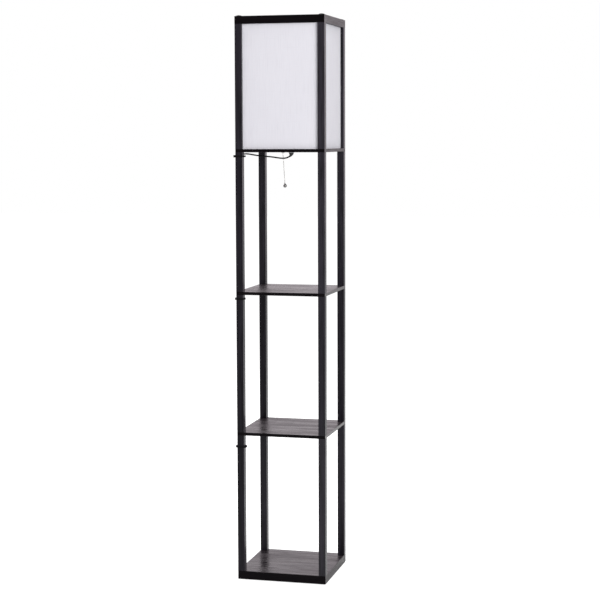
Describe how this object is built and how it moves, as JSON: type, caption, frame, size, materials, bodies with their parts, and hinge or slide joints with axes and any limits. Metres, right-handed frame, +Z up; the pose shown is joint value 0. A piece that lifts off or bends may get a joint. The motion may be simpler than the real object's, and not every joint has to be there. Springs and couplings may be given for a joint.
{
  "type": "floor lamp",
  "caption": "Tall square floor lamp: a boxy white shade on a black wooden tower of open shelves, switched by a pull chain under the lamp deck.",
  "frame": {"origin": "On the floor, under the middle of the square tower", "axes": "+Z up along the tower, -Y is the front, +X is the right seen from the front"},
  "size_m": [0.2712, 0.3224, 1.605],
  "materials": {
    "black_wood": "satin black foil with a fine grain",
    "shade_fabric": "white woven cloth on a stiff backing",
    "black_plastic": "matte moulded",
    "white_plastic": "satin moulded",
    "ceramic_white": "glazed insulator",
    "frosted_bulb": "frosted white diffuser",
    "brass": "turned",
    "nickel": "nickel plated",
    "zinc_steel": "zinc plated",
    "cord_sheath": "soft black sheath",
    "tie_nylon": "black nylon",
    "glide_plastic": "dense foam glide"
  },
  "bodies": {
    "root": {"base_board": "black_wood", "foot_glides": "glide_plastic", "base_screws": "zinc_steel", "lower_shelf": "black_wood", "middle_shelf": "black_wood", "lamp_deck": "black_wood", "lower_post_front_left": "black_wood", "lower_post_front_right": "black_wood", "lower_post_back_left": "black_wood", "lower_post_back_right": "black_wood", "middle_post_front_left": "black_wood", "middle_post_front_right": "black_wood", "middle_post_back_left": "black_wood", "middle_post_back_right": "black_wood", "upper_post_front_left": "black_wood", "upper_post_front_right": "black_wood", "upper_post_back_left": "black_wood", "upper_post_back_right": "black_wood", "shade_post_front_left": "black_wood", "shade_post_front_right": "black_wood", "shade_post_back_left": "black_wood", "shade_post_back_right": "black_wood", "post_inserts": "brass", "board_studs": "zinc_steel", "top_rail_front": "black_wood", "top_rail_back": "black_wood", "top_rail_left": "black_wood", "top_rail_right": "black_wood", "top_screws": "zinc_steel", "screw_caps": "black_plastic", "shade_panel_front": "shade_fabric", "shade_panel_back": "shade_fabric", "shade_panel_left": "shade_fabric", "shade_panel_right": "shade_fabric", "threaded_nipple": "zinc_steel", "nipple_nuts": "zinc_steel", "holder_base": "black_plastic", "holder_sleeve": "black_plastic", "holder_core": "ceramic_white", "holder_shell": "brass", "holder_contact": "brass", "bulb_cap": "nickel", "bulb_housing": "white_plastic", "bulb_diffuser": "frosted_bulb", "switch_housing": "black_plastic", "switch_cover": "black_plastic", "neck_nut": "nickel", "cord_gland": "black_plastic", "mains_cord": "cord_sheath", "cord_coil": "cord_sheath", "cord_tail": "cord_sheath", "cord_ties": "tie_nylon", "coil_ties": "tie_nylon", "plug_body": "cord_sheath", "plug_blades": "nickel"},
    "rotor": {"switch_rotor": "white_plastic"},
    "pull_chain": {"chain_upper": "nickel"},
    "swing_bead": {"chain_swing_bead": "nickel"},
    "hanging_chain": {"chain_lower": "nickel", "chain_ball": "nickel"}
  },
  "joints": [
    {"name": "chain_pull", "type": "slide", "parent": "root", "child": "pull_chain", "axis": [0, 0, -1], "range_m": [0, 0.008], "stiffness_N_per_m": 600, "springref_m": -0.005},
    {"name": "rotor_turn", "type": "hinge", "parent": "root", "child": "rotor", "pos_m": [-0.03215, 0, 1.243], "axis": [0, 1, 0], "range_deg": [0, 65]},
    {"name": "chain_swing_side", "type": "hinge", "parent": "pull_chain", "child": "swing_bead", "pos_m": [-0.025, 0, 1.2184], "axis": [0, 1, 0], "range_deg": [-26, 34]},
    {"name": "chain_swing_front", "type": "hinge", "parent": "swing_bead", "child": "hanging_chain", "pos_m": [-0.025, 0, 1.2184], "axis": [1, 0, 0], "range_deg": [-30, 30]}
  ],
  "couplings": [
    {"joint": "rotor_turn", "follows": "chain_pull", "rad_per_m": 139.86}
  ]
}
